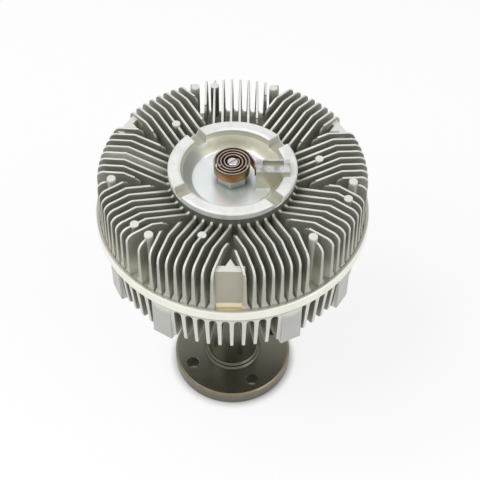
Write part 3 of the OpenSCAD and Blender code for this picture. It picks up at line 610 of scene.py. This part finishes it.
def zinc_finish(look):
    """Grey-green zinc plate with a faint passivated shimmer."""
    f = Finish("bush_zinc_plate")
    warmth = (1.1, 1.0, 0.85)
    cloud = f.noise(grain=5 * MM, detail=4)
    speck = f.noise(grain=0.5 * MM, detail=2)
    warm = tuple(c * k for c, k in zip(look.zinc, warmth))
    tone = f.tint(f.mix(f.step(cloud, 0.42, 0.66), look.zinc, warm), speck * 0.3 + 0.85)
    rough = 0.36 + (speck - 0.5) * 0.2
    return f.fill(Base_Color=tone, Metallic=0.8, Roughness=rough, Normal=f.bump(speck, depth=0.03 * MM))


def rubber_finish(look):
    """Matt black rubber."""
    f = Finish("seal_black_rubber")
    speck = f.noise(grain=0.4 * MM, detail=3)
    tone = f.tint(look.rubber, speck * 0.6 + 0.7)
    rough = 0.62 + speck * 0.2
    return f.fill(Base_Color=tone, Metallic=0.0, Roughness=rough, Normal=f.bump(speck, depth=0.03 * MM))


def bimetal_finish(sizes):
    """Heat-tinted bronze strip with greyer cut edges."""
    f = Finish("coil_bimetal_strip")
    cloud = f.noise(grain=8 * MM, detail=3)
    drawn = f.noise(grain=0.5 * MM, detail=2, place=f.stretched(along=0.35 * MM, around=40 * MM))
    edge = f.step(f.upward.size(), 0.55, 0.8)
    side = f.mix(f.step(cloud, 0.46, 0.6), sizes.bronze, sizes.heated)
    colour = f.tint(f.mix(edge, side, sizes.cut), drawn * 0.3 + 0.85)
    rough = 0.36 + (cloud - 0.5) * 0.2
    return f.fill(Base_Color=colour, Metallic=0.75, Roughness=rough, Normal=f.bump(drawn, depth=0.02 * MM))


def dress(node, material, edge=0.0):
    """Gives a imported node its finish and, where asked, rounded edges."""
    piece = frame["nodes"][node]
    piece.data.materials.clear()
    piece.data.materials.append(material)
    if edge:
        round_edges(piece, edge)


class EdgeNodes(Finish):
    """Geometry nodes that mark edges of a piece by the angle between their faces."""

    def __init__(self, name):
        self.tree = bpy.data.node_groups.new(name, "GeometryNodeTree")
        self.nodes = self.tree.nodes
        self.links = self.tree.links
        for way in ("INPUT", "OUTPUT"):
            self.tree.interface.new_socket("Geometry", in_out=way, socket_type="NodeSocketGeometry")
        self.mesh = self.add("NodeGroupInput")
        self.angle = self.add("GeometryNodeInputMeshEdgeAngle", output="Signed Angle")
        self.x, self.y, self.z = self.split(self.add("GeometryNodeInputPosition"))


def edge_marks(sharp, bare_z):
    """Marks the sharp outer edges for rounding, apart from those at one level."""
    g = EdgeNodes("edge_marks")
    near = 0.1 * MM
    off_level = (g.z - bare_z).size().maths("GREATER_THAN", near)
    share = g.angle.maths("GREATER_THAN", sharp) * off_level
    sockets = {"Geometry": g.mesh, "Name": "bevel_weight_edge", "Value": share}
    marked = g.add("GeometryNodeStoreNamedAttribute", {"data_type": "FLOAT", "domain": "EDGE"}, sockets)
    g.add("NodeGroupOutput", None, {0: marked})
    return g.tree


def crease_marks(sharp, reach):
    """Parts the shading at the inner corners that lie within a reach from the axis."""
    g = EdgeNodes("crease_marks")
    radius = (g.x * g.x + g.y * g.y) ** 0.5
    inner = g.angle.maths("LESS_THAN", -sharp) * radius.maths("LESS_THAN", reach)
    settings = {"domain": "EDGE"}
    even = g.add("GeometryNodeSetShadeSmooth", settings, {"Geometry": g.mesh, "Shade Smooth": True})
    sockets = {"Geometry": even, "Selection": inner, "Shade Smooth": False}
    creased = g.add("GeometryNodeSetShadeSmooth", settings, sockets)
    g.add("NodeGroupOutput", None, {0: creased})
    return g.tree


def round_edges(piece, width):
    """Rounds the sharp outer edges of a piece and keeps its inner corners crisp."""
    weld = piece.modifiers.new("joined_faces", "WELD")
    weld.merge_threshold = JOIN_GAP
    flat = piece.modifiers.new("flat_faces", "DECIMATE")
    flat.decimate_type = "DISSOLVE"
    flat.angle_limit = FLAT_ANGLE
    marks = piece.modifiers.new("edge_marks", "NODES")
    marks.node_group = edge_marks(SHARP_ANGLE, LEDGE_Z)
    bevel = piece.modifiers.new("rounded_edges", "BEVEL")
    bevel.width = width
    bevel.segments = 2
    bevel.limit_method = "WEIGHT"
    bevel.use_clamp_overlap = False
    creases = piece.modifiers.new("crease_marks", "NODES")
    creases.node_group = crease_marks(CREASE_ANGLE, CREASE_REACH)
    normals = piece.modifiers.new("even_shading", "WEIGHTED_NORMAL")
    normals.keep_sharp = True


def new_piece(name, points, faces, material):
    """A mesh piece in the scene."""
    mesh = bpy.data.meshes.new(name)
    mesh.from_pydata([tuple(p) for p in points], [], faces)
    mesh.materials.append(material)
    mesh.shade_smooth()
    piece = bpy.data.objects.new(name, mesh)
    bpy.context.scene.collection.objects.link(piece)
    return piece


def coil_path(sizes):
    """Points of the strip's middle line from the spindle's slot outwards, and their shares of its turns."""
    slot_points = 6
    turn_points = 96
    tail_points = 8
    hook_points = 6
    slot_half = SPINDLE_R - 0.5 * MM
    start_r = SPINDLE_R + 0.6 * MM
    end_r = sizes.diameter / 2 - sizes.thickness / 2
    tail_top = Vector((sizes.tail_x, -0.5 * MM))
    hook = Vector((0, -5.5 * MM))
    turning = math.tau * sizes.turns
    steps = sizes.turns * turn_points
    slot = Vector((math.cos(sizes.end_angle), math.sin(sizes.end_angle)))
    points = [-slot * slot_half * (1 - 2 * k / slot_points) for k in range(slot_points)]
    shares = [0.0] * len(points)
    for k in range(steps + 1):
        share = k / steps
        angle = sizes.end_angle + turning * (1 - share)
        radius = start_r + (end_r - start_r) * share
        points.append(Vector((radius * math.cos(angle), radius * math.sin(angle))))
        shares.append(share)
    last = points[-1]
    for k in range(1, tail_points + 1):
        points.append(last.lerp(tail_top, k / tail_points))
        shares.append(1.0)
    for k in range(1, hook_points + 1):
        points.append(tail_top + hook * (k / hook_points))
        shares.append(1.0)
    return smoothed(points, rounds=3), shares


def smoothed(points, rounds):
    """The points with their corners eased, both ends kept."""
    for _ in range(rounds):
        middle = [(a + b * 2 + c) / 4 for a, b, c in zip(points, points[1:], points[2:])]
        points = [points[0], *middle, points[-1]]
    return points


def strip_section(thickness, height):
    """Outline of the strip with rounded corners, as across and upwards pairs."""
    corner = thickness * 0.3
    corner_points = 4
    half_t, half_h = thickness / 2 - corner, height / 2 - corner
    outline = []
    for quarter, (sx, sz) in enumerate(((1, 1), (-1, 1), (-1, -1), (1, -1))):
        for k in range(corner_points):
            a = math.radians(90 * quarter + 90 * k / (corner_points - 1))
            outline.append((sx * half_t + corner * math.cos(a), sz * half_h + corner * math.sin(a)))
    return outline


class FANCLUTCH_OT_shaft(bpy.types.Operator):
    """Gives the flanged shaft its phosphated skin"""

    bl_idname = "fan_clutch.shaft"
    bl_label = "Finish the drive shaft"

    def execute(self, context):
        look = context.scene.fan_clutch_steel
        dress("drive_shaft", shaft_finish(look), look.rounding)
        return {"FINISHED"}


class FANCLUTCH_OT_bearing(bpy.types.Operator):
    """Gives the races, balls, cages, shields and circlips their finishes"""

    bl_idname = "fan_clutch.bearing"
    bl_label = "Finish the bearing"

    def execute(self, context):
        look = context.scene.fan_clutch_steel
        ground = steel_finish("bearing_ground_steel", look.bright, rough=0.24)
        for node in ("bearing_inner_race", "bearing_outer_race", "bearing_balls"):
            dress(node, ground)
        pressed = steel_finish("bearing_shield_steel", look.bright, rough=0.34)
        dress("bearing_shield_rear", pressed)
        dress("bearing_shield_front", pressed)
        brass = steel_finish("bearing_cage_brass", look.brass, rough=0.36)
        dress("bearing_cage_rear", brass)
        dress("bearing_cage_front", brass)
        spring_shade = 0.25
        dark = tuple(c * spring_shade for c in look.bright)
        spring = steel_finish("circlip_spring_steel", dark, rough=0.38)
        for node in ("bearing_circlip", "rotor_circlip", "spindle_circlip"):
            dress(node, spring)
        return {"FINISHED"}


class FANCLUTCH_OT_rotor(bpy.types.Operator):
    """Gives the rotor its turned aluminium"""

    bl_idname = "fan_clutch.rotor"
    bl_label = "Finish the rotor"

    def execute(self, context):
        look = context.scene.fan_clutch_casting
        dress("rotor", steel_finish("rotor_turned_aluminium", look.band, rough=0.34, ring=0.8 * MM))
        return {"FINISHED"}


class FANCLUTCH_OT_rear_body(bpy.types.Operator):
    """Gives the rear casting its skin and its turned band"""

    bl_idname = "fan_clutch.rear_body"
    bl_label = "Finish the rear body"

    def execute(self, context):
        look = context.scene.fan_clutch_casting
        dress("rear_body", body_finish(look), look.rounding)
        return {"FINISHED"}


class FANCLUTCH_OT_front_cover(bpy.types.Operator):
    """Gives the finned cover its bare crests, dark gaps and bright dish"""

    bl_idname = "fan_clutch.front_cover"
    bl_label = "Finish the front cover"

    def execute(self, context):
        look = context.scene.fan_clutch_casting
        dress("front_cover", cover_finish(look), look.rounding)
        return {"FINISHED"}


class FANCLUTCH_OT_valve(bpy.types.Operator):
    """Gives the partition plate, valve, bush and seals their finishes"""

    bl_idname = "fan_clutch.valve"
    bl_label = "Finish the valve parts"

    def execute(self, context):
        look = context.scene.fan_clutch_steel
        yellowing = (1.0, 0.92, 0.66)
        passivated = tuple(c * k for c, k in zip(look.bright, yellowing))
        plate = steel_finish("plate_passivated_steel", passivated, rough=0.36)
        dress("partition_plate", plate)
        dress("valve_arm", plate)
        dress("plate_screws", steel_finish("screw_steel", look.bright, rough=0.4))
        rubber = rubber_finish(look)
        dress("housing_seal", rubber)
        dress("spindle_seal", rubber)
        dress("spindle_bush", zinc_finish(look), look.rounding)
        bright = steel_finish("spindle_bright_steel", look.bright, rough=0.28)
        dress("valve_spindle", bright, look.rounding * 0.6)
        return {"FINISHED"}


class FANCLUTCH_OT_coil(bpy.types.Operator):
    """Winds the bimetal strip outwards from the spindle's slot"""

    bl_idname = "fan_clutch.coil"
    bl_label = "Wind the bimetal coil"

    def execute(self, context):
        sizes = context.scene.fan_clutch_coil
        path, shares = coil_path(sizes)
        outline = strip_section(sizes.thickness, sizes.height)
        middle_z = COIL_Z + sizes.height / 2
        points, weights = [], []
        for k, point in enumerate(path):
            ahead = path[min(k + 1, len(path) - 1)] - path[max(k - 1, 0)]
            across = Vector((-ahead.y, ahead.x)).normalized()
            for out, up in outline:
                points.append((*(point + across * out), middle_z + up))
                weights.append(1 - shares[k])
        count = len(outline)
        faces = []
        for k in range(len(path) - 1):
            low, high = k * count, (k + 1) * count
            for i in range(count):
                j = (i + 1) % count
                faces.append((low + i, low + j, high + j, high + i))
        faces.append(tuple(range(count))[::-1])
        faces.append(tuple(range(len(points) - count, len(points))))
        coil = new_piece("bimetal_strip", points, faces, bimetal_finish(sizes))
        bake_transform(coil)
        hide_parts("bimetal_coil")
        return {"FINISHED"}


class FANCLUTCH_OT_threads(bpy.types.Operator):
    """Cuts a thread into every fan bolt hole"""

    bl_idname = "fan_clutch.threads"
    bl_label = "Cut the fan bolt threads"

    def execute(self, context):
        pitch = context.scene.fan_clutch_coil.thread_pitch
        mounts = {m["name"]: m["dims"] for m in frame["record"]["mounts"]}
        points, faces = [], []
        for name, side in (("fan_bolts_a", -1), ("fan_bolts_b", 1)):
            wall = mounts[name]["hole_r_mm"] * MM
            reach = mounts[name]["pcd_mm"] / 2 * MM
            for pair in range(BOSS_PAIRS):
                a = math.radians(BOSS_CLOCK + pair * 360 / BOSS_PAIRS + side * BOSS_SPLIT / 2)
                centre = Vector((reach * math.cos(a), reach * math.sin(a), 0))
                add_thread(points, faces, centre, wall, pitch)
        look = context.scene.fan_clutch_casting
        cut = steel_finish("thread_cut_aluminium", look.skin, rough=0.4)
        threads = new_piece("fan_bolt_threads", points, faces, cut)
        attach(threads, "housing")
        return {"FINISHED"}


class FANCLUTCH_OT_arches(bpy.types.Operator):
    """Rounds the gaps between the rear fins where they end under the band"""

    bl_idname = "fan_clutch.arches"
    bl_label = "Arch the rear gaps"

    def execute(self, context):
        between_pairs = 180 / BOSS_PAIRS
        spaces = [k * REAR_FIN_STEP for k in range(-1, 2)]
        spaces += [between_pairs + k * REAR_FIN_STEP for k in range(-4, 5)]
        halves = [GAP_HALF] * len(spaces)
        spaces += [-BOSS_GAP_AT, BOSS_GAP_AT]
        halves += [BOSS_GAP_HALF] * 2
        points, faces = [], []
        for pair in range(BOSS_PAIRS):
            for space, half in zip(spaces, halves):
                turn = math.radians(BOSS_CLOCK + pair * 360 / BOSS_PAIRS + space)
                add_arch(points, faces, Matrix.Rotation(turn, 3, "Z"), half)
        skin = frame["nodes"]["rear_body"].data.materials[0]
        arches = new_piece("rear_gap_arches", points, faces, skin)
        arches.data.shade_flat()
        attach(arches, "housing")
        return {"FINISHED"}


def add_arch(points, faces, turn, half):
    """One arched block between two fins, from the chamber's wall to just behind the fins' outer edges."""
    steps = 12
    side_lap = 0.4 * MM
    top_lap = 0.3 * MM
    set_back = 0.6 * MM
    top = FLANGE_UNDER + top_lap
    section = [(-half - side_lap, top)]
    for k in range(steps + 1):
        side = 2 * k / steps - 1
        drop = half * (1 - math.sqrt(max(0, 1 - side * side)))
        section.append((side * half, FLANGE_UNDER - ARCH_WEB - drop))
    section.append((half + side_lap, top))
    section.insert(1, (-half - side_lap, section[1][1]))
    section.insert(-1, (half + side_lap, section[-2][1]))
    first, count = len(points), len(section)
    for reach in (ARCH_INNER_R, REAR_FIN_TOP_R - set_back):
        points += [turn @ Vector((reach, across * reach / REAR_FIN_TOP_R, z)) for across, z in section]
    faces.append(tuple(first + i for i in range(count))[::-1])
    faces.append(tuple(first + count + i for i in range(count)))
    for i in range(count):
        j = (i + 1) % count
        faces.append((first + i, first + j, first + count + j, first + count + i))


def add_thread(points, faces, centre, wall, pitch):
    """One helical ridge inside a hole, as a closed strip of three-cornered section."""
    turns = 15
    turn_points = 32
    corners = 3
    ridge = pitch * 0.3
    foot_half = 0.44
    foot_r = wall + 0.03 * MM
    start_z = BOSS_Z + 1.2 * MM
    steps = turns * turn_points
    first = len(points)
    for k in range(steps + 1):
        a = math.tau * k / turn_points
        z = start_z + pitch * k / turn_points
        fade = min(1, k / turn_points, (steps - k) / turn_points)
        for r, up in ((foot_r, -foot_half), (wall - ridge * fade, 0), (foot_r, foot_half)):
            points.append(centre + Vector((r * math.cos(a), r * math.sin(a), z + up * pitch)))
    for k in range(steps):
        low = first + corners * k
        high = low + corners
        for i in range(corners):
            j = (i + 1) % corners
            faces.append((low + i, low + j, high + j, high + i))
    faces.append((first + 2, first + 1, first))
    last = first + corners * steps
    faces.append((last, last + 1, last + 2))


class FANCLUTCH_OT_studio(bpy.types.Operator):
    """Sets up the floor, the lamps, the sky and the camera"""

    bl_idname = "fan_clutch.studio"
    bl_label = "Set up the studio"

    def execute(self, context):
        studio = context.scene.fan_clutch_studio
        context.scene.view_settings.view_transform = "Standard"
        add_floor(studio)
        add_lamp("key_lamp", studio.key, KEY_SIZE, KEY_PLACE)
        add_lamp("fill_lamp", studio.fill, FILL_SIZE, FILL_PLACE)
        add_sky(context.scene, studio)
        add_camera(context.scene, studio)
        return {"FINISHED"}


def add_floor(studio):
    """A plain pale floor that stays white to the camera and keeps the object's shadow."""
    half = FLOOR_HALF
    corners = [(-half, -half, 0), (half, -half, 0), (half, half, 0), (-half, half, 0)]
    shadow_r = (FLANGE_R - 1 * MM, FLANGE_R + 7 * MM)
    f = Finish("studio_floor")
    wash = f.noise(grain=0.4, detail=2)
    f.fill(Base_Color=f.tint(studio.floor, wash * 0.04 + 0.98), Roughness=0.8)
    seen = white_rays(f)
    glow = f.add("ShaderNodeEmission", None, {"Color": WHITE, "Strength": GLOW_STRENGTH})
    shader = Wire(f, f.shader.outputs["BSDF"])
    share = f.step(f.radius, *shadow_r) * GLOW_SHARE + SHADOW_SHARE
    mixed = f.add("ShaderNodeMixShader", None, {0: seen * share, 1: shader, 2: glow})
    output = next(n for n in f.nodes if n.bl_idname == "ShaderNodeOutputMaterial")
    f.links.new(mixed.socket, output.inputs["Surface"])
    new_piece("studio_floor", corners, [(0, 1, 2, 3)], f.material)


def white_rays(f):
    """1 for rays that show the background: from the camera, or by way of shine or glass."""
    path = f.add("ShaderNodeLightPath").socket.node
    rays = [Wire(f, path.outputs[n]) for n in ("Is Camera Ray", "Is Glossy Ray", "Is Transmission Ray")]
    return (rays[0] + rays[1] + rays[2]).least(1.0)


def add_lamp(name, power, size, place):
    """A square soft lamp that looks at the object's middle."""
    lamp = bpy.data.lights.new(name, "AREA")
    lamp.energy = power
    lamp.size = size
    holder = bpy.data.objects.new(name, lamp)
    bpy.context.scene.collection.objects.link(holder)
    holder.location = place
    aim = Vector(LAMP_AIM) - Vector(place)
    holder.rotation_euler = aim.to_track_quat("-Z", "Y").to_euler()


class Sky(Finish):
    """The world's nodes, built as a finish is."""

    def __init__(self, world):
        world.use_nodes = True
        self.nodes = world.node_tree.nodes
        self.links = world.node_tree.links
        self.nodes.clear()


def add_sky(scene, studio):
    """Even light from all round, white where it is seen."""
    scene.world = bpy.data.worlds.new("studio_sky")
    sky = Sky(scene.world)
    strength = white_rays(sky) * (1 - studio.sky) + studio.sky
    light = sky.add("ShaderNodeBackground", None, {"Color": WHITE, "Strength": strength})
    sky.add("ShaderNodeOutputWorld", None, {"Surface": light})


def add_camera(scene, studio):
    """The camera at the photograph's viewing angle."""
    lens = bpy.data.cameras.new("studio_camera")
    lens.lens = studio.lens
    lens.sensor_width = SENSOR_WIDTH
    camera = bpy.data.objects.new("studio_camera", lens)
    scene.collection.objects.link(camera)
    camera.location = studio.camera
    turn = (Vector(studio.aim) - Vector(studio.camera)).to_track_quat("-Z", "Y").to_matrix()
    camera.rotation_euler = (turn @ Matrix.Rotation(studio.roll, 3, "Z")).to_euler()
    scene.camera = camera


class FANCLUTCH_PT_sidebar(bpy.types.Panel):
    """Lists the fan clutch's sizes, colours and operators"""

    bl_idname = "FANCLUTCH_PT_sidebar"
    bl_label = "Fan Clutch"
    bl_space_type = "VIEW_3D"
    bl_region_type = "UI"
    bl_category = "Fan Clutch"

    def draw(self, context):
        for group in GROUPS:
            box = self.layout.box()
            settings = getattr(context.scene, group)
            for name in settings.bl_rna.properties.keys():
                if name not in ("rna_type", "name"):
                    box.prop(settings, name)
        for operator in OPERATORS:
            self.layout.operator(operator.bl_idname)


GROUPS = {
    "fan_clutch_casting": CastingLook,
    "fan_clutch_steel": SteelLook,
    "fan_clutch_coil": CoilSizes,
    "fan_clutch_studio": StudioSet,
}
OPERATORS = (
    FANCLUTCH_OT_shaft, FANCLUTCH_OT_bearing, FANCLUTCH_OT_rotor, FANCLUTCH_OT_rear_body,
    FANCLUTCH_OT_front_cover, FANCLUTCH_OT_valve, FANCLUTCH_OT_coil, FANCLUTCH_OT_arches,
    FANCLUTCH_OT_threads, FANCLUTCH_OT_studio,
)


def register():
    for group in (*GROUPS.values(), *OPERATORS, FANCLUTCH_PT_sidebar):
        bpy.utils.register_class(group)
    for name, group in GROUPS.items():
        setattr(bpy.types.Scene, name, PointerProperty(type=group))


def unregister():
    for name in GROUPS:
        delattr(bpy.types.Scene, name)
    for group in reversed((*GROUPS.values(), *OPERATORS, FANCLUTCH_PT_sidebar)):
        bpy.utils.unregister_class(group)


def main():
    register()
    bpy.ops.fan_clutch.shaft()
    bpy.ops.fan_clutch.bearing()
    bpy.ops.fan_clutch.rotor()
    bpy.ops.fan_clutch.rear_body()
    bpy.ops.fan_clutch.front_cover()
    bpy.ops.fan_clutch.valve()
    bpy.ops.fan_clutch.coil()
    bpy.ops.fan_clutch.arches()
    bpy.ops.fan_clutch.threads()
    bpy.ops.fan_clutch.studio()


if __name__ == "__main__":
    main()
